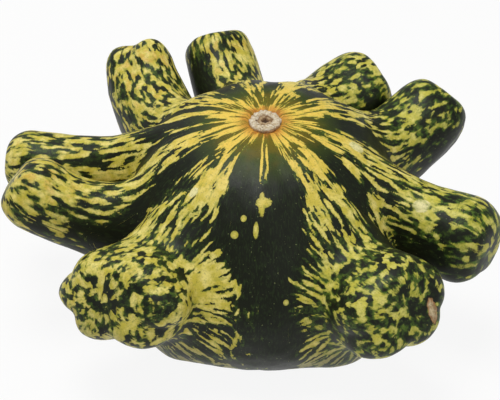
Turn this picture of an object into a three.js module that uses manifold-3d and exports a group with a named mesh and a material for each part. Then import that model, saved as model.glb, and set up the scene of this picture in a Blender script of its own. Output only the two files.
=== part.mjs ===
// Ornamental gourd: a low ribbed dome with stubby fingers growing out of its ribs, a flattened
// underside to rest on, and a corky scar on the crown where the stem came away.
// Millimetres and degrees, +Z up, the origin on the flat underside below the middle of the dome.
// Directions around the gourd are measured from +X towards +Y.

import * as THREE from "three";
import { mergeVertices } from "three/addons/utils/BufferGeometryUtils.js";
import Module from "manifold-3d";

// ---------------------------------------------------------------- driving dimensions

const DOME = {
  radius: 42, // half width at the widest level
  level: 36, // height of the widest level above the resting face
  rise: 32, // from the widest level up to the crown
  drop: 41, // from the widest level down to the base, before it is flattened
  lean: 6, // the crown leans this much towards -Y
  crownRoundness: 0.84, // 1 would be an ellipse, less is fuller
  baseRoundness: 0.66,
  ribSwell: 0.03, // how far a rib stands out, as a share of the radius
};

const BELLY = {
  towards: -92, // also the direction of the one rib that bears no finger
  swell: 0.19, // share of the radius
  halfWidth: 66,
  cornerSwell: 0.17, // the belly is fuller again at either side
  cornerAway: 30,
  cornerWidth: 20,
};

const BASE_ROUNDING = 3; // half height of the soft edge of the flat underside

const ROOT_DISTANCE = 36; // where a finger's own axis begins, out from the middle
const PATCH = { above: 52, below: 42 }; // latitudes over which a finger grows out of the skin
const TIP_SHARE = 0.45; // inner share of the patch that forms the rounded fingertip
const FREE_SHARE = 0.5; // inner share of the patch that is wholly finger
const TIP_LENGTH = 0.95; // length of the rounded fingertip, in bulb radii

// at: direction of the root. swing: turn of the tip from there. reach, tip: distance out and
// height of the tip. neck, bulb: radii. wide, roll: breadth of the bulb and its turn.
// rootWide, rootTall, rootLevel: half width, half height and height of the root. bend, rise: how
// far along and how high the axis bends. ahead, behind: how far its flanks spread, in degrees,
// where not halfway to the next rib. knuckles, turn, depth: lobes around the bulb. lobedSide:
// the side where they are deepest, as an angle around the finger. cleft: how far they cut into
// the tip. squareness: 2 would make the tip a half ball.
const PLAIN_FINGER = {
  wide: 1, roll: 0, rootWide: 14, rootTall: 20, bend: 0.55, rise: 0.25, knuckles: 4,
  lobedSide: -90, cleft: 0, squareness: 2.3,
};
const FINGERS = [
  { at: -134, swing: 3.5, reach: 68.8, tip: 41, neck: 14.5, bulb: 13.2, wide: 1.48, roll: 14,
    rootWide: 23, rootTall: 30, rootLevel: 31, ahead: 36, knuckles: 6, turn: 15, depth: 0.28 },
  { at: -165, swing: -8, reach: 74.7, tip: 52.7, neck: 10, bulb: 11,
    rootTall: 17, rootLevel: 32, turn: 60, depth: 0.2 },
  { at: 166, swing: 5, reach: 82, tip: 42.3, neck: 10, bulb: 10.6, rise: 0.5,
    rootLevel: 39, turn: 75, depth: 0.18, squareness: 2 },
  { at: 139, swing: -15.5, reach: 75, tip: 57.5, neck: 15, bulb: 11.4,
    rootWide: 22, rootLevel: 34, behind: 25, knuckles: 3, turn: 120, depth: 0.3, lobedSide: 70,
    cleft: 0.3 },
  { at: 100, swing: 4.5, reach: 69.3, tip: 57, neck: 12, bulb: 10.8, wide: 1.08, rootWide: 22,
    rootLevel: 37, behind: 19, knuckles: 3, turn: 50, depth: 0.16, lobedSide: 100, cleft: 0.12,
    squareness: 3.6 },
  { at: 69, swing: -17, reach: 66.3, tip: 50, neck: 13.5, bulb: 12.6, wide: 1.12, rise: 0.4,
    rootWide: 18, rootLevel: 38, turn: 60, depth: 0.22 },
  { at: 29, swing: 1.5, reach: 69.5, tip: 54.3, neck: 13, bulb: 12.6,
    rootWide: 17, rootLevel: 37, turn: 75, depth: 0.2 },
  { at: -15, swing: -7.5, reach: 71.5, tip: 39, neck: 12.5, bulb: 13, rise: 0.5,
    rootLevel: 39, turn: 120, depth: 0.2, squareness: 2.1 },
  { at: -53, swing: -2.5, reach: 68.7, tip: 42.6, neck: 14.5, bulb: 13.4, wide: 1.2, roll: 10,
    rootWide: 23, rootTall: 32, rootLevel: 31, behind: 33, knuckles: 5, turn: 14, depth: 0.25 },
].map((finger) => ({ ...PLAIN_FINGER, ...finger }));

const SCAR = {
  radius: 4.8,
  stands: 0.9, // rim above the skin
  sunk: 1.2, // underside below the skin
  pitRadius: 1.3,
  pitDepth: 1.4,
  lobes: 8, // corners of its uneven outline
  unevenness: 0.04,
  clearance: 0.3,
  sides: 32,
};

const SKIN_COLUMNS = 168;
const SKIN_ROWS = 30;
const COLUMN_CROWDING = 0.45; // columns lie closer together on the ribs than in the valleys
const ROW_CROWDING = 0.38; // rows lie closer together at the widest level than at the poles

// ---------------------------------------------------------------- small helpers

const radians = THREE.MathUtils.degToRad;
const UP = new THREE.Vector3(0, 0, 1);

/** Turn of an angle, from -180 to 180. */
function wrap(angle) {
  return THREE.MathUtils.euclideanModulo(angle + 180, 360) - 180;
}

/** 0 below start, 1 above end, smooth between. Start may be the larger. */
function smooth(start, end, x) {
  const t = THREE.MathUtils.clamp((x - start) / (end - start), 0, 1);
  return t * t * (3 - 2 * t);
}

/** A point from its distance out, direction and height. */
function polar(distance, direction, height) {
  const turn = radians(direction);
  return new THREE.Vector3(distance * Math.cos(turn), distance * Math.sin(turn), height);
}

// ---------------------------------------------------------------- dome

class Dome {
  constructor(ribDirections) {
    this.ribs = ribDirections.map((d) => THREE.MathUtils.euclideanModulo(d, 360));
    this.ribs.sort((a, b) => a - b);
  }

  /** The ribs at or before and after a direction: the first rib, and the spacing to the next. */
  ribsAround(direction) {
    const d = THREE.MathUtils.euclideanModulo(direction, 360);
    const count = this.ribs.length;
    const before = (this.ribs.filter((rib) => rib <= d).length - 1 + count) % count;
    return { rib: this.ribs[before], spacing: this.spacingAfter(before) };
  }

  spacingAfter(index) {
    const next = this.ribs[(index + 1) % this.ribs.length];
    return THREE.MathUtils.euclideanModulo(next - this.ribs[index], 360);
  }

  /** Half the spacing from a rib to the next one and to the one before. */
  halfSpacings(direction) {
    const index = this.ribs.indexOf(THREE.MathUtils.euclideanModulo(direction, 360));
    const previous = (index - 1 + this.ribs.length) % this.ribs.length;
    return { ahead: this.spacingAfter(index) / 2, behind: this.spacingAfter(previous) / 2 };
  }

  /** 1 on a rib, -1 in the valley between two ribs. */
  ribWave(direction) {
    const { rib, spacing } = this.ribsAround(direction);
    return Math.cos((2 * Math.PI * THREE.MathUtils.euclideanModulo(direction - rib, 360)) / spacing);
  }

  /** Moves an evenly spaced direction towards the nearest rib, where the fingers need detail. */
  crowded(direction) {
    const { rib, spacing } = this.ribsAround(direction);
    const turn = (2 * Math.PI * THREE.MathUtils.euclideanModulo(direction - rib, 360)) / spacing;
    return rib + (spacing * (turn - COLUMN_CROWDING * Math.sin(turn))) / (2 * Math.PI);
  }

  bellySwell(latitude, direction, girth) {
    const away = Math.abs(wrap(direction - BELLY.towards));
    const front = BELLY.swell * Math.exp(-((away / BELLY.halfWidth) ** 4));
    const corner = (away - BELLY.cornerAway) / BELLY.cornerWidth;
    const corners = BELLY.cornerSwell * Math.exp(-(corner ** 2));
    return (front + corners) * smooth(40, -20, latitude) * smooth(0.15, 0.85, girth);
  }

  point(latitude, direction) {
    const sine = Math.sin(radians(latitude));
    const girth = Math.abs(Math.cos(radians(latitude)));
    const roundness = sine > 0 ? DOME.crownRoundness : DOME.baseRoundness;
    const radius = DOME.radius * girth ** roundness
      * (1 + DOME.ribSwell * this.ribWave(direction) * smooth(0.05, 0.7, girth))
      * (1 + this.bellySwell(latitude, direction, girth));
    const point = polar(radius, direction, (sine > 0 ? DOME.rise : DOME.drop) * sine);
    point.applyAxisAngle(new THREE.Vector3(1, 0, 0), radians(DOME.lean));
    point.z += DOME.level;
    return point;
  }
}

// ---------------------------------------------------------------- finger

class Finger {
  constructor(size, dome) {
    this.size = size;
    this.half = dome.halfSpacings(size.at);
    this.half.ahead = size.ahead ?? this.half.ahead;
    this.half.behind = size.behind ?? this.half.behind;
    const { at, swing, reach, tip, rootLevel, bend, rise } = size;
    const root = polar(ROOT_DISTANCE, at, rootLevel);
    const elbow = polar(
      ROOT_DISTANCE + (reach - ROOT_DISTANCE) * bend,
      at + 0.4 * swing,
      rootLevel + (tip - rootLevel) * rise,
    );
    const end = polar(reach, at + swing, tip);
    this.axis = new THREE.QuadraticBezierCurve3(root, elbow, end);
    const length = (root.distanceTo(elbow) + elbow.distanceTo(end) + root.distanceTo(end)) / 2;
    this.tipStart = 1 - (size.bulb * TIP_LENGTH) / length;
  }

  /** Where a direction and latitude lie in this finger's patch: 0 at its tip, 1 at its rim. */
  patch(latitude, direction) {
    const turn = wrap(direction - this.size.at);
    const across = turn / (turn > 0 ? this.half.ahead : this.half.behind);
    const up = latitude / (latitude > 0 ? PATCH.above : PATCH.below);
    return { share: Math.hypot(across, up), around: Math.atan2(up, across) };
  }

  /** The lobes around the bulb: 1 on a knuckle and 0 in a crease, and how deep they are. */
  lobes(around) {
    const { knuckles, turn, lobedSide } = this.size;
    return {
      wave: Math.abs(Math.cos(0.5 * knuckles * (around - radians(turn)))),
      uneven: 0.6 + 0.4 * Math.cos(around - radians(lobedSide)),
    };
  }

  /** Factor on the radius that makes lobes around the bulb. */
  knuckle(share, around) {
    const { wave, uneven } = this.lobes(around);
    const lobe = Math.sqrt((wave ** 2 + 0.03) / 1.03);
    const along = smooth(0, 0.22, share) * (1 - smooth(0.36, 0.72, share));
    return 1 + this.size.depth * uneven * (lobe - 0.75) * along;
  }

  /** How far the tip is dented, in its middle and in the creases between its knuckles. */
  dent(share, around) {
    const { wave, uneven } = this.lobes(around);
    const middle = this.size.depth * 0.7 * (1 - smooth(0, 0.26, share));
    const rim = smooth(0, 0.25, share) * (1 - smooth(0.25, 0.6, share));
    return this.size.bulb * (middle + this.size.cleft * uneven * (1 - wave ** 2) * rim);
  }

  point(share, around) {
    const { neck, bulb, wide, roll, rootWide, rootTall, squareness } = this.size;
    const cap = Math.min(share / TIP_SHARE, 1) * (Math.PI / 2);
    const t = share < TIP_SHARE
      ? this.tipStart + (1 - this.tipStart) * Math.abs(Math.cos(cap)) ** (2 / squareness)
      : this.tipStart * (1 - (share - TIP_SHARE) / (1 - TIP_SHARE));
    const closing = share < TIP_SHARE ? Math.sin(cap) ** (2 / squareness) : 1;
    const core = neck + (bulb - neck) * smooth(0.3, 0.85, t);
    const flare = 1 - smooth(0, 0.45, t);
    const swell = closing * this.knuckle(share, around);
    const halfWidth = (core + (rootWide - neck) * flare) * swell * (1 + (wide - 1) * smooth(0.2, 0.7, t));
    const halfHeight = (core + (rootTall - neck) * flare) * swell;

    const tangent = this.axis.getTangent(t);
    const side = new THREE.Vector3().crossVectors(UP, tangent).normalize();
    const top = new THREE.Vector3().crossVectors(tangent, side);
    side.applyAxisAngle(tangent, radians(roll));
    top.applyAxisAngle(tangent, radians(roll));
    const angle = around - radians(roll);
    return this.axis.getPoint(t)
      .addScaledVector(side, halfWidth * Math.cos(angle))
      .addScaledVector(top, halfHeight * Math.sin(angle))
      .addScaledVector(tangent, -this.dent(share, around));
  }
}

// ---------------------------------------------------------------- whole skin

class GourdSkin {
  constructor() {
    this.dome = new Dome([...FINGERS.map((finger) => finger.at), BELLY.towards]);
    this.fingers = FINGERS.map((size) => new Finger(size, this.dome));
  }

  /** Presses everything below the resting face flat, with a soft edge. */
  flatten(point) {
    const k = BASE_ROUNDING;
    if (point.z < -k) {
      point.z = 0;
    } else if (point.z < k) {
      point.z = (point.z + k) ** 2 / (4 * k);
    }
    return point;
  }

  point(latitude, direction) {
    const point = this.dome.point(latitude, direction);
    for (const finger of this.fingers) {
      const { share, around } = finger.patch(latitude, direction);
      if (share < 1) {
        point.lerp(finger.point(share, around), 1 - smooth(FREE_SHARE, 1, share));
      }
    }
    return this.flatten(point);
  }

  geometry() {
    const geometry = new THREE.SphereGeometry(1, SKIN_COLUMNS, SKIN_ROWS);
    const { position, uv } = geometry.attributes;
    for (let i = 0; i < position.count; i += 1) {
      const height = 2 * uv.getY(i) - 1;
      const latitude = 90 * ((1 - ROW_CROWDING) * height + ROW_CROWDING * height ** 3);
      const direction = this.dome.crowded(360 * (uv.getX(i) % 1));
      const point = this.point(latitude, direction);
      position.setXYZ(i, point.x, point.y, point.z);
    }
    return welded(geometry);
  }
}

// ---------------------------------------------------------------- stem scar

/** Lifts a shape made around +Z at the origin onto the crown, and leans it as the dome leans. */
function ontoCrown(geometry) {
  geometry.translate(0, 0, DOME.rise);
  geometry.rotateX(radians(DOME.lean));
  geometry.translate(0, 0, DOME.level);
  return geometry;
}

function scarGeometry() {
  const { radius, stands, sunk, pitRadius, pitDepth, lobes, unevenness, sides } = SCAR;
  const profile = [
    [0, -sunk],
    [0.92 * radius, -sunk],
    [radius, -0.6 * sunk],
    [radius, 0.5 * stands],
    [0.9 * radius, stands],
    [0.7 * radius, 0.85 * stands],
    [1.4 * pitRadius, 0.7 * stands],
    [pitRadius, 0],
    [0.5 * pitRadius, 0.6 * stands - pitDepth],
    [0, stands - pitDepth],
  ].map(([out, height]) => new THREE.Vector2(out, height));
  const geometry = new THREE.LatheGeometry(profile, sides);
  geometry.rotateX(Math.PI / 2);
  const { position } = geometry.attributes;
  for (let i = 0; i < position.count; i += 1) {
    const around = Math.atan2(position.getY(i), position.getX(i));
    const corner = unevenness * (Math.cos(lobes * around) + 0.6 * Math.cos(3 * around + 1));
    position.setX(i, position.getX(i) * (1 + corner));
    position.setY(i, position.getY(i) * (1 + corner));
  }
  return ontoCrown(welded(geometry));
}

/** The shallow recess that the scar sits in, as a solid to cut away. */
function recessGeometry() {
  const { radius, stands, sunk, unevenness, clearance, sides } = SCAR;
  const widest = radius * (1 + 1.6 * unevenness) + clearance;
  const height = sunk + clearance + 2 * stands;
  const geometry = new THREE.CylinderGeometry(widest, widest, height, sides);
  geometry.rotateX(Math.PI / 2);
  geometry.translate(0, 0, height / 2 - sunk - clearance);
  return ontoCrown(welded(geometry));
}

// ---------------------------------------------------------------- solids

const wasm = await Module();
wasm.setup();

/** A closed mesh with one vertex per corner. */
function welded(geometry) {
  geometry.deleteAttribute("normal");
  geometry.deleteAttribute("uv");
  return mergeVertices(geometry);
}

function solid(geometry) {
  const vertProperties = new Float32Array(geometry.attributes.position.array);
  const triVerts = new Uint32Array(geometry.index.array);
  return new wasm.Manifold(new wasm.Mesh({ numProp: 3, vertProperties, triVerts }));
}

function cut(geometry, tool) {
  const mesh = solid(geometry).subtract(solid(tool)).getMesh();
  const result = new THREE.BufferGeometry();
  result.setAttribute("position", new THREE.BufferAttribute(mesh.vertProperties, 3));
  result.setIndex(new THREE.BufferAttribute(mesh.triVerts, 1));
  return result;
}

function part(name, geometry, look) {
  const mesh = new THREE.Mesh(geometry, new THREE.MeshStandardMaterial(look));
  mesh.name = name;
  return mesh;
}

const gourd = new THREE.Group();
gourd.add(
  part("gourd_body", cut(new GourdSkin().geometry(), recessGeometry()),
    { color: "#6d6a3a", roughness: 0.5, metalness: 0 }),
  part("stem_scar", scarGeometry(), { color: "#c8b69a", roughness: 0.9, metalness: 0 }),
);

export default gourd;
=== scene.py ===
"""Ornamental gourd with knobbly fingers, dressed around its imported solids.

The skin is one surface: every point of it is known by a latitude and a direction, as on a globe,
and the dome, the fingers and the flattened base are all formulas of those two angles. The same
formulas give each point its place in the growth pattern, which the rind's colours follow.
Sizes are in millimetres and degrees, and become metres when a mesh is made.
"""

import logging
import math
from dataclasses import dataclass, field
from enum import Enum
from typing import Callable, Sequence, Union

import bmesh
import bpy
import numpy as np
from mathutils import Matrix, Vector, noise


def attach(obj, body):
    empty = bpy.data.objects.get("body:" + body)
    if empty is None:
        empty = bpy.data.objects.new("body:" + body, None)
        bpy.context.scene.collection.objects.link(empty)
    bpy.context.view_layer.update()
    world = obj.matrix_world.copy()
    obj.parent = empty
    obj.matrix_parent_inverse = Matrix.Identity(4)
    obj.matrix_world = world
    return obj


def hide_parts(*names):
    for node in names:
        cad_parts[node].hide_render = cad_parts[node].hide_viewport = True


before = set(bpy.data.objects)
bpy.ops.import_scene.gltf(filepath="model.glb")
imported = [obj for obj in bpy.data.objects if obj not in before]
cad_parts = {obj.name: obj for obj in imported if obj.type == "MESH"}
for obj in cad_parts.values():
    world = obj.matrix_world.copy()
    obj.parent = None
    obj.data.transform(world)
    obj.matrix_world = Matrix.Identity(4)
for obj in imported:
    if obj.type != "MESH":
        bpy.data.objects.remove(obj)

LOG = logging.getLogger("gourd")
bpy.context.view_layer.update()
METRES = 0.001  # one millimetre
Array = np.ndarray
Floats = Union[float, Array]  # one number or many
Colour = tuple[float, float, float, float]
Feed = Union["Signal", float, tuple[float, ...]]  # what goes into a node's input


# ------------------------------------------------------------------ small helpers


def srgb(code: str) -> Colour:
    """Turns a colour code into linear light.

    Args:
        code: Six hexadecimal digits.

    Returns:
        Linear red, green and blue, and 1 for opaque.
    """
    channels = [int(code[i:i + 2], 16) / 255 for i in (0, 2, 4)]
    linear = [c / 12.92 if c <= 0.04045 else ((c + 0.055) / 1.055) ** 2.4 for c in channels]
    return (linear[0], linear[1], linear[2], 1.0)


def smooth(start: float, end: float, x: Floats) -> Floats:
    """Rises smoothly from 0 at start to 1 at end.

    Args:
        start: Where it is 0. It may be larger than end.
        end: Where it is 1.
        x: The values to look up.

    Returns:
        Shares from 0 to 1.
    """
    t = np.clip((x - start) / (end - start), 0.0, 1.0)
    return t * t * (3 - 2 * t)


def wrap(angle: Floats) -> Floats:
    """Turns angles in degrees into the range from -180 to 180."""
    return np.mod(angle + 180.0, 360.0) - 180.0


def mix(first: Floats, second: Floats, share: Floats) -> Floats:
    """Goes from first, at a share of 0, to second, at 1."""
    return first + (second - first) * share


def unit(vectors: Array) -> Array:
    """The same directions, one unit long."""
    return vectors / np.maximum(np.linalg.norm(vectors, axis=-1, keepdims=True), 1e-6)


def same(first: Floats, second: Floats) -> Floats:
    """Whether directions are the same, however many turns apart they are given."""
    return np.abs(wrap(first - second)) < 0.1


def polar(distance: Floats, direction: Floats, height: Floats) -> Array:
    """Points from their distance out, direction in degrees and height."""
    turn = np.radians(direction)
    return np.stack([distance * np.cos(turn), distance * np.sin(turn), height], axis=-1)


# ------------------------------------------------------------------ the gourd's form


@dataclass(frozen=True)
class DomeForm:
    """Sizes of the dome that carries the fingers."""

    radius: float = 42.0
    level: float = 36.0
    rise: float = 32.0
    drop: float = 41.0
    lean: float = 6.0
    crown_roundness: float = 0.84
    base_roundness: float = 0.66
    rib_swell: float = 0.03
    base_rounding: float = 3.0


@dataclass(frozen=True)
class BellyForm:
    """The fuller side of the dome, below the rib that bears no finger."""

    towards: float = -92.0
    swell: float = 0.19
    half_width: float = 66.0
    corner_swell: float = 0.17
    corner_away: float = 30.0
    corner_width: float = 20.0


@dataclass(frozen=True)
class FingerForm:
    """One finger: its course, its girth and the knuckles around its bulb.

    at, swing: direction of the root, and how far the tip turns from it. reach, tip: distance out
    and height of the tip. neck, bulb: radii. wide, roll: breadth of the bulb and its turn.
    root_wide, root_tall, root_level: half width, half height and height of the root. bend, rise:
    how far along and how high the axis bends. ahead, behind: how far its flanks spread, in
    degrees, where not halfway to the next rib. knuckles, turn, depth: lobes around the bulb.
    lobed_side: the side where they are deepest, as an angle around the finger. cleft: how far
    they cut into the tip. squareness: 2 would make the tip a half ball.
    streak: half length of the marks on the bulb. cover: how far yellow outweighs green on the
    bulb. green: how much mid green its blotches hold. shade_side, shade: the side that stays
    dark, as an angle around the finger, and how strongly.
    """

    at: float
    swing: float
    reach: float
    tip: float
    neck: float
    bulb: float
    root_level: float
    turn: float
    depth: float
    wide: float = 1.0
    roll: float = 0.0
    root_wide: float = 14.0
    root_tall: float = 20.0
    bend: float = 0.55
    rise: float = 0.25
    ahead: float = 0.0
    behind: float = 0.0
    knuckles: int = 4
    lobed_side: float = -90.0
    cleft: float = 0.0
    squareness: float = 2.3
    streak: float = 0.8
    cover: float = 0.02
    green: float = 0.5
    shade_side: float = -90.0
    shade: float = 0.08


FINGERS = (
    FingerForm(at=-134, swing=3.5, reach=68.8, tip=41, neck=14.5, bulb=13.2, wide=1.48, roll=14,
               root_wide=23, root_tall=30, root_level=31, ahead=36, knuckles=6, turn=15,
               depth=0.28, streak=0.45, cover=0.0, green=0.5),
    FingerForm(at=-165, swing=-8, reach=74.7, tip=52.7, neck=10, bulb=11,
               root_tall=17, root_level=32, turn=60, depth=0.2, streak=2.0,
               cover=0.02, green=0.4, shade_side=-30, shade=0.15),
    FingerForm(at=166, swing=5, reach=82, tip=42.3, neck=10, bulb=10.6, rise=0.5,
               root_level=39, turn=75, depth=0.18, squareness=2, streak=2.0,
               cover=0.02, green=0.4),
    FingerForm(at=139, swing=-15.5, reach=75, tip=57.5, neck=15, bulb=11.4,
               root_wide=22, root_level=34, behind=25, knuckles=3, turn=120, depth=0.3,
               lobed_side=70, cleft=0.3, streak=1.7, cover=0.015, green=0.45, shade_side=-40,
               shade=0.2),
    FingerForm(at=100, swing=4.5, reach=69.3, tip=57, neck=12, bulb=10.8, wide=1.08,
               root_wide=22, root_level=37, behind=19, knuckles=3, turn=50, depth=0.16,
               lobed_side=100, cleft=0.12, squareness=3.6, streak=2.0, cover=0.01, green=0.5,
               shade_side=-20, shade=0.4),
    FingerForm(at=69, swing=-17, reach=66.3, tip=50, neck=13.5, bulb=12.6, wide=1.12,
               rise=0.4, root_wide=18, root_level=38, turn=60, depth=0.22,
               cover=-0.015, green=0.6, shade_side=230, shade=0.25),
    FingerForm(at=29, swing=1.5, reach=69.5, tip=54.3, neck=13, bulb=12.6,
               root_wide=17, root_level=37, turn=75, depth=0.2, cover=-0.05, green=0.7,
               shade_side=235, shade=0.22),
    FingerForm(at=-15, swing=-7.5, reach=71.5, tip=39, neck=12.5, bulb=13, rise=0.5,
               root_level=39, turn=120, depth=0.2, squareness=2.1, streak=1.2, cover=-0.01,
               green=0.7, shade_side=225, shade=0.3),
    FingerForm(at=-53, swing=-2.5, reach=68.7, tip=42.6, neck=14.5, bulb=13.4, wide=1.2, roll=10,
               root_wide=23, root_tall=32, root_level=31, behind=33, knuckles=5, turn=14,
               depth=0.25, streak=0.5, cover=-0.03, green=0.65, shade_side=-10, shade=0.22),
)


class Ribs:
    """The ribs around the dome, as sorted directions in degrees."""

    def __init__(self, directions: Sequence[float]) -> None:
        """Sorts the ribs' directions."""
        self.directions = np.sort(np.mod(np.array(directions, float), 360.0))
        self.spacing = np.mod(np.roll(self.directions, -1) - self.directions, 360.0)

    def turn_between(self, direction: Array) -> tuple[Array, Array, Array]:
        """Finds where directions lie between two ribs.

        Args:
            direction: Directions in degrees.

        Returns:
            The rib at or before each one, the spacing to the next rib, and the place between
            the two as a turn from 0 to two pi.
        """
        d = np.mod(direction, 360.0)
        before = (np.searchsorted(self.directions, d, side="right") - 1) % len(self.directions)
        rib, spacing = self.directions[before], self.spacing[before]
        return rib, spacing, 2 * math.pi * np.mod(d - rib, 360.0) / spacing

    def crowded(self, direction: Array, crowding: float) -> Array:
        """Moves evenly spaced directions towards their nearest rib."""
        rib, spacing, turn = self.turn_between(direction)
        return rib + spacing * (turn - crowding * np.sin(turn)) / (2 * math.pi)

    def half_spacings(self, direction: float) -> tuple[float, float]:
        """Half the spacing from the rib at a direction to the next rib and to the one before."""
        index = int(np.argmin(np.abs(wrap(self.directions - direction))))
        return float(self.spacing[index]) / 2, float(self.spacing[index - 1]) / 2


class Finger:
    """The skin of one finger, drawn out of a patch of the dome."""

    ROOT_DISTANCE = 36.0  # where its axis begins, out from the dome's middle
    PATCH_ABOVE = 52.0  # latitudes over which it grows out of the skin
    PATCH_BELOW = 42.0
    TIP_SHARE = 0.45  # inner share of the patch that forms the rounded tip
    FREE_SHARE = 0.5  # inner share of the patch that is wholly finger
    TIP_LENGTH = 0.95  # length of the rounded tip, in bulb radii
    ELBOW_SWING = 0.4  # share of the swing that is reached at the bend
    CREASE_ROUNDING = 0.03
    MIDDLE_LOBE = 0.75  # the lobes' wave where they neither swell nor shrink the bulb
    DIMPLE = 0.7  # depth of the tip's dimple, as a share of the lobes' depth

    def __init__(self, form: FingerForm, ribs: Ribs) -> None:
        """Works out the finger's bent axis and the size of its patch.

        Args:
            form: The finger's sizes.
            ribs: The ribs, one of which bears it.
        """
        self.form = form
        ahead, behind = ribs.half_spacings(form.at)
        self.ahead = form.ahead or ahead
        self.behind = form.behind or behind
        self.root = polar(self.ROOT_DISTANCE, form.at, form.root_level)
        self.elbow = polar(
            mix(self.ROOT_DISTANCE, form.reach, form.bend),
            form.at + self.ELBOW_SWING * form.swing,
            mix(form.root_level, form.tip, form.rise),
        )
        self.end = polar(form.reach, form.at + form.swing, form.tip)
        legs = np.linalg.norm(self.elbow - self.root) + np.linalg.norm(self.end - self.elbow)
        self.length = (legs + np.linalg.norm(self.end - self.root)) / 2
        self.tip_start = 1 - form.bulb * self.TIP_LENGTH / self.length

    def patch(self, latitude: Array, direction: Array) -> tuple[Array, Array]:
        """Places latitudes and directions in the finger's patch.

        Args:
            latitude: Latitudes in degrees.
            direction: Directions in degrees.

        Returns:
            The share of the way from the fingertip to the patch's rim, and the angle around
            the finger in radians, 0 on its left side and a quarter turn on its top.
        """
        turn = wrap(direction - self.form.at)
        across = turn / np.where(turn > 0, self.ahead, self.behind)
        up = latitude / np.where(latitude > 0, self.PATCH_ABOVE, self.PATCH_BELOW)
        return np.hypot(across, up), np.arctan2(up, across)

    def rounding(self, share: Array, wave: Callable[[Array], Array]) -> Array:
        """A wave, sine or cosine, over the rounded tip's quarter turn, squared off."""
        quarter = np.clip(share / self.TIP_SHARE, 0, 1) * (math.pi / 2)
        return np.abs(wave(quarter)) ** (2 / self.form.squareness)

    def along(self, share: Array) -> Array:
        """Share of the axis, from root to tip, that belongs to a share of the patch."""
        shaft = 1 - np.maximum(share - self.TIP_SHARE, 0) / (1 - self.TIP_SHARE)
        return self.tip_start * shaft + (1 - self.tip_start) * self.rounding(share, np.cos)

    def lobes(self, share: Array, around: Array) -> tuple[Array, Array]:
        """The knuckles around the bulb, and the dents in the tip's middle and between them.

        Args:
            share: Shares of the way from the fingertip to the patch's rim.
            around: Angles around the finger in radians.

        Returns:
            A factor on the radius, and how far the skin is pressed back along the axis.
        """
        form = self.form
        wave = np.abs(np.cos(0.5 * form.knuckles * (around - math.radians(form.turn))))
        uneven = 0.6 + 0.4 * np.cos(around - math.radians(form.lobed_side))
        lobe = np.sqrt((wave ** 2 + self.CREASE_ROUNDING) / (1 + self.CREASE_ROUNDING))
        bulb = smooth(0, 0.22, share) * (1 - smooth(0.36, 0.72, share))
        rim = smooth(0, 0.25, share) * (1 - smooth(0.25, 0.6, share))
        middle = form.depth * self.DIMPLE * (1 - smooth(0, 0.26, share))
        dent = form.bulb * (middle + form.cleft * uneven * (1 - wave ** 2) * rim)
        return 1 + form.depth * uneven * (lobe - self.MIDDLE_LOBE) * bulb, dent

    def points(self, share: Array, around: Array) -> Array:
        """Points of the finger's own surface.

        Args:
            share: Shares of the way from the fingertip to the patch's rim.
            around: Angles around the finger in radians.

        Returns:
            One point for each pair.
        """
        form = self.form
        along = self.along(share)
        knuckles, dent = self.lobes(share, around)
        girth = knuckles * self.rounding(share, np.sin)
        core = mix(form.neck, form.bulb, smooth(0.3, 0.85, along))
        flare = 1 - smooth(0, 0.45, along)
        breadth = mix(1, form.wide, smooth(0.2, 0.7, along))
        roll = math.radians(form.roll)
        width = (core + (form.root_wide - form.neck) * flare) * girth * breadth
        width *= np.cos(around - roll)
        height = (core + (form.root_tall - form.neck) * flare) * girth * np.sin(around - roll)
        across = width * math.cos(roll) - height * math.sin(roll)
        upward = width * math.sin(roll) + height * math.cos(roll)

        place = along[:, None]
        centre = mix(mix(self.root, self.elbow, place), mix(self.elbow, self.end, place), place)
        forward = unit(mix(self.elbow - self.root, self.end - self.elbow, place))
        side = unit(np.cross(np.array([0.0, 0.0, 1.0]), forward))
        top = np.cross(forward, side)
        return centre + across[:, None] * side + upward[:, None] * top - dent[:, None] * forward


class Layer(str, Enum):
    """Names of the values that meshes carry for their materials, in rows of three numbers.

    FLOW: how far around, up and down the dome a point lies, with the way down it shortened, so
    that noise is drawn out into streaks. GRAIN: the way a finger grows, as long as half a streak.
    PLACE: how far yellow outweighs green, millimetres from the stem, and 0 on the dome to 1 on a
    finger. TONE: how far a point is turned down, which sets the paler underside and the painted
    shade on it, how green the blotches are, and 0 at a finger's root to 1 on its bulb. CORK: how
    far out on the scar a point lies, how deep below its rim, which sets the painted shade in the
    pit and hole, and 0 to 1 for how deep in a crack.
    """

    FLOW = "flow"
    GRAIN = "grain"
    PLACE = "place"
    TONE = "tone"
    CORK = "cork"


@dataclass(frozen=True)
class Valley:
    """A dark valley of the pattern that isn't midway between its two ribs.

    above, below: its direction above the latitude `high` and below the latitude `low`.
    """

    between: tuple[float, float]
    above: float
    below: float
    high: float
    low: float

    def at(self, latitude: Array) -> Array:
        """Its direction at each latitude."""
        return mix(self.below, self.above, smooth(self.low, self.high, latitude))


@dataclass(frozen=True)
class Favour:
    """A stretch of the dome where one colour is favoured: its middle, half spans and strength."""

    direction: float
    latitude: float
    half_turn: float
    half_rise: float
    strength: float


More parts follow.
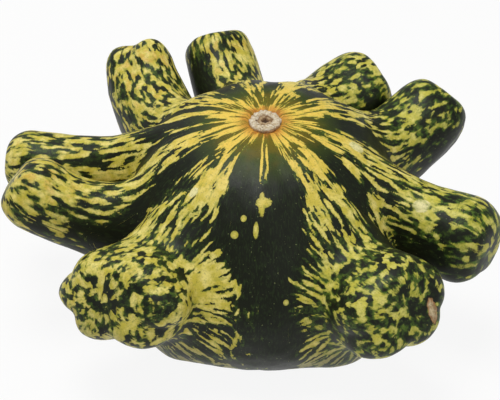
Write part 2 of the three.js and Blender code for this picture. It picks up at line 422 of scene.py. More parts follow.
FAVOURS = (
    Favour(-126.0, 60.0, 9.0, 12.0, 0.14),
    Favour(-121.0, 34.0, 5.0, 8.0, -0.1),
    Favour(-113.0, 54.0, 5.0, 8.0, 0.13),
    Favour(-114.0, 12.0, 8.0, 14.0, 0.18),
    Favour(-62.0, 20.0, 12.0, 26.0, -0.06),
    Favour(-70.5, 42.0, 4.0, 15.0, 0.05),
    Favour(-79.5, 42.0, 3.0, 16.0, -0.2),
    Favour(-73.0, -2.0, 9.0, 18.0, 0.05),
    Favour(-112.0, -22.0, 14.0, 10.0, -0.03),
    Favour(-18.0, 22.0, 9.0, 14.0, -0.12),
    Favour(169.0, 57.0, 5.0, 16.0, -0.3),
    Favour(163.0, 29.0, 8.0, 10.0, 0.15),
    Favour(153.0, 50.0, 8.0, 18.0, 0.1),
    Favour(-176.0, 38.0, 9.0, 30.0, 0.15),
)


class Skin:
    """The whole skin as formulas of latitude and direction."""

    EVEN_GIRTH = 42.0  # the pattern's radius, the same at every latitude
    EVEN_ARC = 12.6  # the pattern's length from a pole to the widest level
    EVEN_RISE = 14.0
    BAND_OFFSET = 37.7  # keeps the noise of neighbouring bands apart
    GRAIN_REACH = 1.15  # how far a finger's grain goes, where 1 is the rim of its patch
    ROOT_STREAK = 3.4  # half length of the streaks at a finger's root
    ROOT_FROM_STEM = 45.0
    CROWN_STREAK_HALF = 5.2  # half width, in degrees, of the fingerless rib's only streak
    CROWN_STREAK_SHIFT = 1.0
    DOME_GREEN = 0.35  # how green the dome's blotches are
    VALLEYS = (
        Valley((-134, -92), above=-107.0, below=-91.5, high=40.0, low=14.0),
        Valley((-92, -53), above=-75.5, below=-83.0, high=60.0, low=5.0),
        Valley((-165, -134), above=-153.0, below=-155.0, high=60.0, low=25.0),
        Valley((-53, -15), above=-33.0, below=-46.0, high=65.0, low=18.0),
    )

    def __init__(self, dome: DomeForm, belly: BellyForm, fingers: Sequence[FingerForm]) -> None:
        """Lays out the ribs and puts a finger on all but one.

        Args:
            dome: The dome's sizes.
            belly: Its fuller side, towards the rib that bears no finger.
            fingers: The fingers' sizes.
        """
        self.dome = dome
        self.belly = belly
        self.ribs = Ribs([form.at for form in fingers] + [belly.towards])
        self.fingers = [Finger(form, self.ribs) for form in fingers]

    def outline(self, latitude: Array) -> tuple[Array, Array]:
        """The dome's outline, before its ribs and belly are added.

        Args:
            latitude: Latitudes in degrees.

        Returns:
            The distance out from the axis, and the height over the widest level.
        """
        dome, angle = self.dome, np.radians(latitude)
        roundness = np.where(angle > 0, dome.crown_roundness, dome.base_roundness)
        height = np.where(angle > 0, dome.rise, dome.drop) * np.sin(angle)
        return dome.radius * np.abs(np.cos(angle)) ** roundness, height

    def dome_points(self, latitude: Array, direction: Array) -> Array:
        """Points of the dome alone, before the base is flattened.

        Args:
            latitude: Latitudes in degrees.
            direction: Directions in degrees.

        Returns:
            One point for each pair.
        """
        belly = self.belly
        girth = np.abs(np.cos(np.radians(latitude)))
        away = np.abs(wrap(direction - belly.towards))
        from_corner = (away - belly.corner_away) / belly.corner_width
        swell = belly.swell * np.exp(-((away / belly.half_width) ** 4))
        swell += belly.corner_swell * np.exp(-(from_corner ** 2))
        swell *= smooth(40, -20, latitude) * smooth(0.15, 0.85, girth)
        rib = np.cos(self.ribs.turn_between(direction)[2]) * smooth(0.05, 0.7, girth)
        out, height = self.outline(latitude)
        out = out * (1 + self.dome.rib_swell * rib) * (1 + swell)
        lean = np.array(Matrix.Rotation(math.radians(self.dome.lean), 3, "X"))
        return polar(out, direction, height) @ lean.T + np.array([0.0, 0.0, self.dome.level])

    def points(self, latitude: Array, direction: Array) -> Array:
        """Points of the whole skin, pressed flat below the resting face with a soft edge.

        Args:
            latitude: Latitudes in degrees.
            direction: Directions in degrees.

        Returns:
            One point for each pair, in millimetres.
        """
        points = self.dome_points(latitude, direction)
        for finger in self.fingers:
            share, around = finger.patch(latitude, direction)
            inside = share < 1
            weight = (1 - smooth(finger.FREE_SHARE, 1, share[inside]))[:, None]
            drawn = finger.points(share[inside], around[inside])
            points[inside] = mix(points[inside], drawn, weight)
        z, soft = points[:, 2], self.dome.base_rounding
        points[:, 2] = np.where(z > soft, z, np.maximum(z + soft, 0) ** 2 / (4 * soft))
        return points

    def _way(self, start: tuple[Array, Array], end: tuple[Array, Array]) -> Array:
        """The way over the skin from places to nearby ones, one millimetre long."""
        return unit(self.points(*end) - self.points(*start))

    def _levels(self, latitude: Array) -> tuple[Array, Array]:
        """Measures how far down the dome latitudes lie.

        Args:
            latitude: Latitudes in degrees.

        Returns:
            The way from the nearer pole, as a share of a quarter turn, and millimetres from
            the stem.
        """
        steps = np.linspace(90, -90, 799)
        out, height = self.outline(steps)
        arc = np.append(0.0, np.cumsum(np.hypot(np.diff(out), np.diff(height))))
        from_stem = np.interp(-latitude, -steps, arc)
        crown = np.interp(0.0, -steps, arc)
        to_base = (arc[-1] - from_stem) / (arc[-1] - crown)
        return np.where(latitude > 0, from_stem / crown, to_base), from_stem

    def _bands(self, latitude: Array, direction: Array) -> tuple[Array, Array, Array, Array]:
        """Shares the dome out in bands, one around each rib.

        Args:
            latitude: Latitudes in degrees.
            direction: Directions in degrees.

        Returns:
            The rib of each place's band, the band's number, millimetres across from the rib,
            and 0 on the band's middle to 1 in the valley beside it.
        """
        band, number, across = np.zeros((3, len(latitude)))
        ridge = np.ones(len(latitude))
        for index, rib in enumerate(self.ribs.directions):
            ahead, behind = self.ribs.half_spacings(rib)
            for valley in self.VALLEYS:
                if same(valley.between[0], rib):
                    ahead = wrap(valley.at(latitude) - rib)
                if same(valley.between[1], rib):
                    behind = wrap(rib - valley.at(latitude))
            turn = wrap(direction - rib)
            half = np.where(turn > 0, ahead, behind)
            own = np.abs(turn) <= half
            band[own] = rib
            number[own] = index
            across[own] = np.radians(turn[own]) * self.EVEN_GIRTH
            if same(rib, self.belly.towards):
                streak = np.abs(turn[own] - self.CROWN_STREAK_SHIFT) / self.CROWN_STREAK_HALF
                ridge[own] = np.minimum(streak, 1.8) + 0.9 * smooth(64, 57, latitude[own])
            else:
                ridge[own] = np.abs(turn[own]) / half[own]
        return band, number, across, ridge

    def growth(self, latitude: Array, direction: Array) -> dict[Layer, Array]:
        """Works out where points lie in the growth pattern.

        Args:
            latitude: Latitudes in degrees.
            direction: Directions in degrees.

        Returns:
            A row of three numbers for each point, in each layer.
        """
        quarter, from_stem = self._levels(latitude)
        band, number, across, ridge = self._bands(latitude, direction)
        flow = [across, self.EVEN_RISE * np.sin(np.radians(latitude)),
                self.EVEN_ARC * quarter + self.BAND_OFFSET * number]
        grain = self._way((latitude + 0.5, direction), (latitude - 0.5, direction))
        cover = self._dome_cover(latitude, direction, ridge, from_stem)
        on_finger, tip = np.zeros((2, len(latitude)))
        # How far a point faces down, for the paler underside and the painted shade on it.
        turned_down = smooth(0, -42, latitude)
        green = np.full(len(latitude), self.DOME_GREEN)
        for finger in self.fingers:
            form = finger.form
            share, around = finger.patch(latitude, direction)
            own = (share < self.GRAIN_REACH) & same(band, form.at)
            share, around = share[own], around[own]
            along = np.maximum(finger.along(share), 0)
            weight = 1 - smooth(finger.FREE_SHARE, 1, share)
            grain[own] = self._finger_grain(
                finger, latitude[own], direction[own], share, grain[own])
            on_finger[own] = smooth(1.1, 0.85, share)
            tip[own] = smooth(0.15, 0.55, along)
            out = self.ROOT_FROM_STEM + along * finger.length
            from_stem[own] = mix(from_stem[own], out, weight)
            below = smooth(-0.15, -0.95, np.sin(around)) * (1 - 0.6 * tip[own])
            turned_down[own] = mix(turned_down[own], below, weight)
            green[own] = mix(green[own], form.green, weight)
            shaded = smooth(0.0, 0.9, np.cos(around - math.radians(form.shade_side)))
            shaded *= weight * form.shade * (1 - 0.8 * smooth(0.5, 0.85, along))
            cover[own] = mix(cover[own], form.cover, smooth(0.15, 0.5, along)) - shaded
        layers = {Layer.FLOW: flow, Layer.PLACE: [cover, from_stem, on_finger],
                  Layer.TONE: [turned_down, green, tip]}
        return {Layer.GRAIN: grain} | {name: np.stack(rows, -1) for name, rows in layers.items()}

    def _finger_grain(self, finger: Finger, latitude: Array, direction: Array, share: Array,
                      dome_way: Array) -> Array:
        """The way a finger grows, turning out of the dome's own way around its root.

        Args:
            finger: The finger.
            latitude: Latitudes in degrees.
            direction: Directions in degrees.
            share: Shares of the way from the fingertip to the patch's rim.
            dome_way: The dome's own way, one millimetre long.

        Returns:
            Vectors as long as half a streak.
        """
        at = finger.form.at
        inner, outer = ((latitude * scale, at + wrap(direction - at) * scale)
                        for scale in (0.98, 1.02))
        way = self._way(outer, inner)
        facing = np.sign(np.sum(way * dome_way, axis=-1, keepdims=True) + 1e-9)
        weight = (1 - smooth(0.8, self.GRAIN_REACH, share))[:, None]
        bulb = smooth(0.15, 0.6, finger.along(share))
        half_streak = mix(self.ROOT_STREAK, finger.form.streak, bulb)
        return unit(mix(dome_way, way * facing, weight)) * half_streak[:, None]

    def _dome_cover(self, latitude: Array, direction: Array, ridge: Array,
                    from_stem: Array) -> Array:
        """How far yellow outweighs green on the dome.

        Args:
            latitude: Latitudes in degrees.
            direction: Directions in degrees.
            ridge: 0 on a band's middle to 1 in the valley beside it.
            from_stem: Millimetres from the stem.

        Returns:
            Shares to add to the pattern's noise.
        """
        near = smooth(22, 7, from_stem)
        narrow = smooth(15, 38, latitude) * (1 - near)
        ridge = ridge * (1 - 0.14 * near + 0.22 * narrow)
        cover = 0.03 - 0.03 * smooth(0.3, 0.75, ridge) - 0.34 * smooth(0.7, 1.1, ridge)
        cover += 0.08 * smooth(13, 7, from_stem)
        for favour in FAVOURS:
            turn = wrap(direction - favour.direction) / favour.half_turn
            rise = (latitude - favour.latitude) / favour.half_rise
            cover += favour.strength * np.exp(-(turn ** 4) - rise ** 4)
        return cover


# ------------------------------------------------------------------ shader nodes


class NodeBench:
    """Adds and links the nodes of one material."""

    def __init__(self, name: str) -> None:
        """Makes an empty material.

        Args:
            name: The material's name.
        """
        self.material = bpy.data.materials.new(name)
        self.material.use_nodes = True
        self.material.node_tree.nodes.clear()

    def node(self, kind: str, feeds: dict[int | str, Feed], **settings: object) -> bpy.types.Node:
        """Adds a node.

        Args:
            kind: The name of its type.
            feeds: What goes into its inputs, by their names or numbers.
            settings: Its properties.

        Returns:
            The node.
        """
        tree = self.material.node_tree
        node = tree.nodes.new(kind)
        for name, value in settings.items():
            setattr(node, name, value)
        for name, value in feeds.items():
            if isinstance(value, Signal):
                tree.links.new(value.socket, node.inputs[name])
            else:
                node.inputs[name].default_value = value
        return node

    def signal(self, output: int | str, kind: str, feeds: dict[int | str, Feed],
               **settings: object) -> "Signal":
        """Adds a node and gives one of its outputs."""
        return Signal(self, self.node(kind, feeds, **settings).outputs[output])

    def layer(self, layer: Layer) -> "Signal":
        """The row of three that a mesh layer holds at the point shaded."""
        return self.signal("Vector", "ShaderNodeAttribute", {}, attribute_type="GEOMETRY",
                           attribute_name=layer.value)

    def millimetres(self) -> "Signal":
        """The point shaded, in the object's own millimetres."""
        return self.signal("Object", "ShaderNodeTexCoord", {}) * 1000.0

    def surface(self, colour: Feed, roughness: Feed, normal: Feed,
                shine: float = 0.5) -> bpy.types.Material:
        """Finishes the material as a matt or shiny skin.

        Args:
            colour: Its colour.
            roughness: 0 for a mirror to 1 for chalk.
            normal: The way it faces, with its relief.
            shine: How strongly it mirrors.

        Returns:
            The material.
        """
        feeds = {"Base Color": colour, "Roughness": roughness, "Normal": normal,
                 "Specular IOR Level": shine}
        return self.finish(self.signal(0, "ShaderNodeBsdfPrincipled", feeds))

    def finish(self, shader: "Signal") -> bpy.types.Material:
        """Puts the shader on the material's surface."""
        self.node("ShaderNodeOutputMaterial", {"Surface": shader})
        return self.material


class Signal:
    """A number, vector or colour inside a material. Arithmetic on it adds nodes."""

    def __init__(self, bench: NodeBench, socket: bpy.types.NodeSocket) -> None:
        """Notes where it comes from."""
        self.bench = bench
        self.socket = socket

    def step(self, operation: str, *others: Feed) -> "Signal":
        """One step of arithmetic.

        Args:
            operation: The name that its node has for it.
            others: What to work it out with. In a vector, a number stands for all three.

        Returns:
            The result, a number if this is one and else a vector.
        """
        if self.socket.type == "VALUE":
            feeds = dict(enumerate((self, *others)))
            return self.bench.signal(0, "ShaderNodeMath", feeds, operation=operation)
        triples = ((each,) * 3 if isinstance(each, float) else each for each in others)
        feeds = dict(enumerate((self, *triples)))
        return self.bench.signal(0, "ShaderNodeVectorMath", feeds, operation=operation)

    def __add__(self, other: Feed) -> "Signal":
        """Adds."""
        return self.step("ADD", other)

    def __sub__(self, other: Feed) -> "Signal":
        """Takes away."""
        return self.step("SUBTRACT", other)

    def __mul__(self, other: Feed) -> "Signal":
        """Multiplies."""
        return self.step("MULTIPLY", other)

    def __pow__(self, power: float) -> "Signal":
        """Raises a number to a power. A colour counts as its lightness."""
        feeds = {0: self, 1: power}
        return self.bench.signal(0, "ShaderNodeMath", feeds, operation="POWER")

    def or_more(self, other: Feed) -> "Signal":
        """The larger of two numbers."""
        return self.step("MAXIMUM", other)

    def length(self) -> "Signal":
        """Length of a vector."""
        feeds = {0: self}
        return self.bench.signal("Value", "ShaderNodeVectorMath", feeds, operation="LENGTH")

    def parts(self) -> list["Signal"]:
        """The three numbers of a vector."""
        split = self.bench.node("ShaderNodeSeparateXYZ", {0: self})
        return [Signal(self.bench, socket) for socket in split.outputs]

    def ease(self, start: float, end: float, low: float = 0.0, high: float = 1.0,
             course: str = "SMOOTHSTEP") -> "Signal":
        """Carries a number from low at start to high at end, and no further."""
        feeds = dict(enumerate((self, start, end, low, high)))
        return self.bench.signal(0, "ShaderNodeMapRange", feeds, interpolation_type=course)

    def blend(self, first: Feed, second: Feed) -> "Signal":
        """Goes from the first colour, where this is 0, to the second, where it is 1."""
        feeds = {0: self, 6: first, 7: second}
        return self.bench.signal(2, "ShaderNodeMix", feeds, data_type="RGBA")

    def between(self, first: Feed, second: Feed) -> "Signal":
        """Goes from the first number, where this is 0, to the second, where it is 1."""
        feeds = {0: self, 2: first, 3: second}
        return self.bench.signal(0, "ShaderNodeMix", feeds, data_type="FLOAT")

    def noise(self, size: float, detail: float = 2.0, roughness: float = 0.5) -> "Signal":
        """Soft noise from 0 to 1 over this vector, a blob being size wide."""
        feeds = {"Vector": self, "Scale": 1 / size, "Detail": detail, "Roughness": roughness}
        return self.bench.signal(0, "ShaderNodeTexNoise", feeds)

    def wander(self, size: float, reach: float) -> "Signal":
        """A small offset that wanders over this vector, up to about reach each way."""
        feeds = {"Vector": self, "Scale": 1 / size, "Detail": 1.0}
        return (self.bench.signal("Color", "ShaderNodeTexNoise", feeds) - 0.5) * (4 * reach)

    def cells(self, size: float) -> list["Signal"]:
        """Distance to the nearest of scattered points, in cells, and a colour for each."""
        cells = self.bench.node("ShaderNodeTexVoronoi", {"Vector": self, "Scale": 1 / size})
        return [Signal(self.bench, cells.outputs[name]) for name in ("Distance", "Color")]

    def relief(self, depth: float, under: Feed = (0.0, 0.0, 0.0)) -> "Signal":
        """The way a surface faces that stands up by depth, in metres, where this is 1."""
        feeds = {"Distance": depth, "Strength": 1.0, "Height": self, "Normal": under}
        return self.bench.signal(0, "ShaderNodeBump", feeds)


class Mark(Enum):
    """What a mark of its own is made of."""

    YELLOW = "yellow"
    CREAM = "cream"
    DRIED = "dried"


@dataclass(frozen=True)
class Fleck:
    """A mark of its own: its place on the skin and its half width and half length."""

    direction: float
    latitude: float
    half_width: float
    half_length: float
    raggedness: float = 0.0
    mark: Mark = Mark.YELLOW


FLECKS = (
    Fleck(-92.2, 53.0, 0.9, 3.4, raggedness=0.45),
    Fleck(-90.9, 54.0, 2.2, 1.5, raggedness=0.5),
    Fleck(-94.5, 41.6, 0.75, 2.3, raggedness=0.15),
    Fleck(-101.1, 45.6, 0.85, 0.95),
    Fleck(-104.2, 37.1, 1.1, 1.1),
    Fleck(-83.0, 10.2, 0.8, 0.85),
    Fleck(-10.1, 55.2, 1.9, 2.5, raggedness=0.2, mark=Mark.CREAM),
    Fleck(-20.7, 29.5, 2.0, 2.6, raggedness=0.3, mark=Mark.CREAM),
    Fleck(-131.7, 50.2, 1.2, 1.6, raggedness=0.25, mark=Mark.CREAM),
    Fleck(-50.5, -2.4, 1.5, 3.6, raggedness=0.35, mark=Mark.DRIED),
    Fleck(0.0, -90.0, 1.7, 1.9, raggedness=0.4, mark=Mark.DRIED),
)


@dataclass(frozen=True)
class RindFinish:
    """Colours and grain of the streaked and blotched rind, its sizes in millimetres."""

    ground: Colour = srgb("1a1e13")
    ground_light: Colour = srgb("344622")
    mid_green: Colour = srgb("64832e")
    leaf_green: Colour = srgb("8f9632")
    yellow: Colour = srgb("d0c14b")
    pale_yellow: Colour = srgb("f3e488")
    lime: Colour = srgb("bcc44e")
    ripe: Colour = srgb("d3a040")
    gold: Colour = srgb("f0ce5a")
    amber: Colour = srgb("d9963a")
    rust: Colour = srgb("b06a26")
    olive: Colour = srgb("7d7018")
    moss: Colour = srgb("56681c")
    # belly: the greyer, darker yellow where the skin faces down, partly its own paler underside
    # and partly painted shade.
    belly: Colour = srgb("97906b")
    cream: Colour = srgb("efe6a6")
    dried: Colour = srgb("a5835c")
    dried_pale: Colour = srgb("dcc8a0")
    speck: Colour = srgb("7f8a58")
    roughness: float = 0.45
    unevenness: float = 0.18
    shine: float = 0.2
    streak: float = 2.0
    crown_streak: float = 1.9
    tonguing: float = 0.7
    fine_streak: float = 1.15
    blotch: float = 1.8
    wide_blotch: float = 2.4
    drift: float = 13.0
    drift_strength: float = 0.22
    green_patch: float = 6.0
    mottle: float = 1.1
    pore: float = 0.5
    speck_spacing: float = 0.85
    pore_relief: float = 0.00003
    yellow_relief: float = 0.00004

    def material(self, skin: Skin) -> bpy.types.Material:
        """Builds the rind's material, with its marks placed on the skin."""
        return RindPaint(self, skin).material()


class RindPaint:
    """Works the rind's finish out at every point of the skin."""

    def __init__(self, finish: RindFinish, skin: Skin) -> None:
        """Starts the material and reads the mesh's layers.

        Args:
            finish: The rind's colours and grain.
            skin: The skin, which places the marks that aren't left to chance.
        """
        self.finish = finish
        self.skin = skin
        self.bench = NodeBench("rind")
        self.here = self.bench.millimetres()
        self.flow = self.bench.layer(Layer.FLOW)
        self.way = self.bench.layer(Layer.GRAIN)
        self.cover, self.from_stem, self.on_finger = self.bench.layer(Layer.PLACE).parts()
        self.turned_down, self.green, self.tip = self.bench.layer(Layer.TONE).parts()

    def material(self) -> bpy.types.Material:
        """Puts the rind's colour, roughness and relief together.

        Returns:
            The finished material.
        """
        finish, here = self.finish, self.here
        pattern = self._pattern()
        marks = self._marks()
        depth = pattern.or_more(marks[Mark.YELLOW]).or_more(marks[Mark.CREAM])
        is_light = (depth * self.tip.between(1.0, 0.42)).ease(-0.012, 0.012)
        soft = here.noise(finish.green_patch).ease(0.32, 0.56) * self.green
        soft = soft * here.noise(finish.mottle, 3.0, 0.65).ease(0.42, 0.58, 0.15, 1.0)
        halo = pattern.ease(-0.14, -0.03) * soft
        dark = halo.blend(self._dark(), finish.mid_green)
        light = marks[Mark.CREAM].ease(0.0, 0.015).blend(self._light(), finish.cream)
        edge = depth.ease(0.11, 0.0) * (soft + 0.3)
        light = edge.blend(light, finish.leaf_green)
        greened = here.noise(2.4, 2.0, 0.6).ease(0.55, 0.75) * soft
        light = greened.blend(light, finish.leaf_green)
        colour = self._stem_ring(is_light.blend(dark, light))
        colour = self._scab(colour, marks[Mark.DRIED])
        pores = here.noise(finish.pore, 2.0, 0.6).ease(0.5, 0.25, 0.0, 0.35)
        colour = pores.blend(colour, finish.ground)
        uneven = here.noise(finish.mottle, 3.0, 0.6) * finish.unevenness
        normal = is_light.relief(finish.yellow_relief, here.noise(0.45).relief(finish.pore_relief))
        roughness = uneven + (finish.roughness - finish.unevenness / 2)
        return self.bench.surface(colour, roughness, normal, finish.shine)

    def _pattern(self) -> Signal:
        """Streaks on the dome and along the fingers, and blotches on the bulbs.

        Returns:
            How deep inside the yellow a point lies, below 0 being outside it.
        """
        finish, here = self.finish, self.here
        bent = self.flow + here.wander(0.9, 0.16)
        streaks = bent.noise(finish.streak, 1.6, 0.72)
        crown = (bent * (0.62, 1.0, 1.3)).noise(finish.crown_streak, 1.6, 0.7)
        streaks = self.from_stem.ease(30.0, 14.0).between(streaks, crown) - 0.5
        tongues = (bent * (0.42, 1.0, 0.6)).noise(finish.streak, 1.0) - 0.5
        streaks = tongues * finish.tonguing + streaks

        strayed = here + here.wander(1.3, 0.2)
        fine = self._smeared(strayed, finish.fine_streak, steps=5, detail=0.6)
        coarse = self._smeared(strayed, finish.blotch, steps=4, detail=1.5)
        broad = self._smeared(strayed, finish.wide_blotch, steps=2, detail=3.0)
        blotches = self._crossed(self.way.length().ease(1.8, 0.9), coarse, broad)
        finger = self._crossed(self.tip, fine, blotches)
        pattern = self._crossed(self.on_finger, streaks, finger)
        drift = here.noise(finish.drift, 1.0) - 0.5
        return drift * finish.drift_strength + pattern + self.cover

    def _smeared(self, place: Signal, size: float, steps: int, detail: float) -> Signal:
        """Smears noise along the way that a finger grows.

        Args:
            place: The point to read the noise at, in millimetres.
            size: Width of the noise's blobs.
            steps: How many times it is read on either side.
            detail: How fine the noise goes.

        Returns:
            The smeared noise around 0, as strong as it was.
        """
        total = place.noise(size, detail, 0.62)
        for step in range(1, steps + 1):
            offset = self.way * (step / steps)
            for shifted in (place + offset, place - offset):
                total = shifted.noise(size, detail, 0.62) * (1 - step / (steps + 1)) + total
        mean = total * (1 / (steps + 1)) - 0.5
        blobs = self.way.length() * (1 / size) + 1.0
        return mean * blobs ** 0.5

    def _crossed(self, share: Signal, first: Signal, second: Signal) -> Signal:
        """Fades one noise into another without losing strength halfway."""
        gain = share * (share * -1.0 + 1.0) * 1.6 + 1.0
        return share.between(first, second) * gain

    def _marks(self) -> dict[Mark, Signal]:
        """Lays out the marks that have a place of their own.

        Returns:
            How deep inside the marks of each kind a point lies.
        """
        ragged = self.here.noise(1.3, 3.0, 0.65) - 0.5
        depths: dict[Mark, Signal] = {}
        for fleck in FLECKS:
            centre = self.skin.points(np.array([fleck.latitude]), np.array([fleck.direction]))[0]
            feeds = {"Vector": self.here - tuple(float(each) for each in centre),
                     "Rotation": (0.0, 0.0, math.radians(-fleck.direction))}
            facing = self.bench.signal(0, "ShaderNodeMapping", feeds, vector_type="POINT")
            length, width = 1 / fleck.half_length, 1 / fleck.half_width
            inside = (facing * (length, width, length)).length() * -1.0 + 1.0
            depth = (ragged * (2.2 * fleck.raggedness) + inside) * 0.12
            other = depths.get(fleck.mark)
            depths[fleck.mark] = other.or_more(depth) if other else depth
        return depths

    def _dark(self) -> Signal:
        """The dark ground, with its olive crown and pale specks.

        Returns:
            Its colour.
        """
        finish, here, from_stem = self.finish, self.here, self.from_stem
        lit = (self.flow * (1.0, 1.0, 0.5)).noise(0.5).ease(0.45, 0.8, 0.0, 0.5)
        ground = lit.blend(finish.ground, finish.ground_light)
        crown = from_stem.ease(4.2, 13.5, 0.4, 0.0, "LINEAR")
        crown = crown + from_stem.ease(13.5, 24.0, 0.6, 0.0, "LINEAR")
        aged = (from_stem - here.noise(4.0, 1.0) * 14.0 - 7.0).ease(5.0, -3.0)
        ground = crown.blend(ground, aged.blend(finish.moss, finish.olive))
        distance, tint = (here + here.wander(1.5, 0.3)).cells(finish.speck_spacing)
        speck = (tint ** 2.0 * 0.27 - distance).ease(0.0, 0.06, 0.0, 0.7)
        return speck.blend(ground, finish.speck)

    def _light(self) -> Signal:
        """The yellow: golden at the crown, pale below, lime or overripe on the fingers, and greyer
        and darker where it faces down, partly its own paler underside and partly painted shade.

        Returns:
            Its colour.
        """
        finish, here = self.finish, self.here
        pale = here.noise(3.0, 3.0, 0.6).ease(0.35, 0.7)
        light = pale.blend(finish.yellow, finish.pale_yellow)
        light = self.from_stem.ease(38.0, 10.0).blend(light, finish.gold)
        light = self.from_stem.ease(10.0, 5.0, 0.0, 0.7).blend(light, finish.amber)
        # Partly the real paler underside and partly painted shade: downward-facing skin goes
        # greyer and darker.
        light = self.turned_down.ease(0.1, 0.9, 0.0, 0.85).blend(light, finish.belly)
        light = self.green.ease(0.45, 0.7, 0.0, 0.32).blend(light, finish.lime)
        overripe = here.noise(4.5, 2.0, 0.6).ease(0.48, 0.66, 0.0, 0.6)
        overripe = overripe * self.green.ease(0.62, 0.42) * self.tip
        overripe = overripe * here.parts()[2].ease(46.0, 62.0, 0.3, 1.0)
        return overripe.blend(light, finish.ripe)

    def _stem_ring(self, colour: Signal) -> Signal:
        """Adds the rusty ring around the stem scar.

        Args:
            colour: The skin's colour so far.

        Returns:
            The colour with the ring.
        """
        rays = (self.flow * (0.2, 1.0, 0.4)).noise(1.0)
        ring = (rays * -9.0 + self.from_stem).ease(3.0, 0.6, 0.0, 0.85)
        ring = ring * self.here.noise(3.0, 1.0).ease(0.38, 0.6, 0.4, 1.0)
        return ring.blend(colour, self.finish.rust)

    def _scab(self, colour: Signal, depth: Signal) -> Signal:
        """Adds the dried, scabbed skin at a fingertip and under the base.

        Args:
            colour: The skin's colour so far.
            depth: How deep inside the scab a point lies.

        Returns:
            The colour with the scab.
        """
        finish = self.finish
        fibre = (self.here * (1.0, 1.0, 0.3)).noise(0.9, 3.0, 0.6).ease(0.35, 0.65)
        dried = fibre.blend(finish.dried, finish.dried_pale)
        dried = (depth.ease(0.04, 0.0) * 0.6).blend(dried, finish.rust)
        return depth.ease(-0.01, 0.01, 0.0, 0.95).blend(colour, dried)


@dataclass(frozen=True)
class CorkFinish:
    """The dry corky scar that the stem left."""

    pale: Colour = srgb("e9dfc8")
    tan: Colour = srgb("bfa67e")
    brown: Colour = srgb("7a5a3a")
    # core: near-black painted shade at the bottom of the pit and in the hole.
    core: Colour = srgb("4a3423")
    heart: Colour = srgb("a5824f")
    roughness: float = 0.85
    unevenness: float = 0.1
    grain: float = 0.7
    grain_relief: float = 0.00025
    pit: float = 0.3

    def material(self) -> bpy.types.Material:
        """Builds the cork's material.

        Returns:
            The finished material.
        """
        bench = NodeBench("cork")
        radius, depth, crack = bench.layer(Layer.CORK).parts()
        here = bench.millimetres()
        grain = here.noise(self.grain, 3.0, 0.65)
        colour = grain.ease(0.3, 0.7).blend(self.tan, self.pale)
        outward = here.noise(1.2) * 0.3 + radius
        colour = outward.ease(0.69, 0.57, 0.0, 0.65).blend(colour, self.heart)
        seam = (outward - 0.6).step("ABSOLUTE").ease(0.06, 0.0, 0.0, 0.7)
        colour = seam.blend(colour, self.brown)
        # Painted shade: darker the deeper below the rim, brown on the pit's sides and near black
        # at its bottom and in the hole.
        colour = depth.ease(0.45, 1.05).blend(colour, self.brown)
        colour = (depth.ease(1.0, 1.35) * 0.9).blend(colour, self.core)
        colour = (crack * 0.8).blend(colour, self.brown)
        pits = here.noise(self.pit).ease(0.62, 0.75, 0.0, 0.7)
        colour = pits.blend(colour, self.brown)
        roughness = grain * self.unevenness + (self.roughness - self.unevenness / 2)
        return bench.surface(colour, roughness, grain.relief(self.grain_relief))


# ------------------------------------------------------------------ meshes


def make_piece(name: str, bm: bmesh.types.BMesh, material: bpy.types.Material, node: str,
               layers: dict[Layer, Array]) -> bpy.types.Object:
    """Turns a bmesh into a smooth piece that stands for a solid of the frame.

    Args:
        name: The piece's name.
        bm: Its mesh in metres, which is freed.
        material: Its finish.
        node: The solid that it replaces.
        layers: Values for the material to read, a row of three for each vertex.

    Returns:
        The new object.
    """
    for face in bm.faces:
        face.smooth = True
    mesh = bpy.data.meshes.new(name)
    bm.to_mesh(mesh)
    bm.free()
    for layer, values in layers.items():
        store = mesh.attributes.new(layer.value, "FLOAT_VECTOR", "POINT")
        store.data.foreach_set("vector", values.astype(np.float32).ravel())
    mesh.materials.append(material)
    piece = bpy.data.objects.new(name, mesh)
    bpy.context.scene.collection.objects.link(piece)
    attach(piece, "root")
    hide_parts(node)
    LOG.info("%s: %d faces", name, len(mesh.polygons))
    return piece


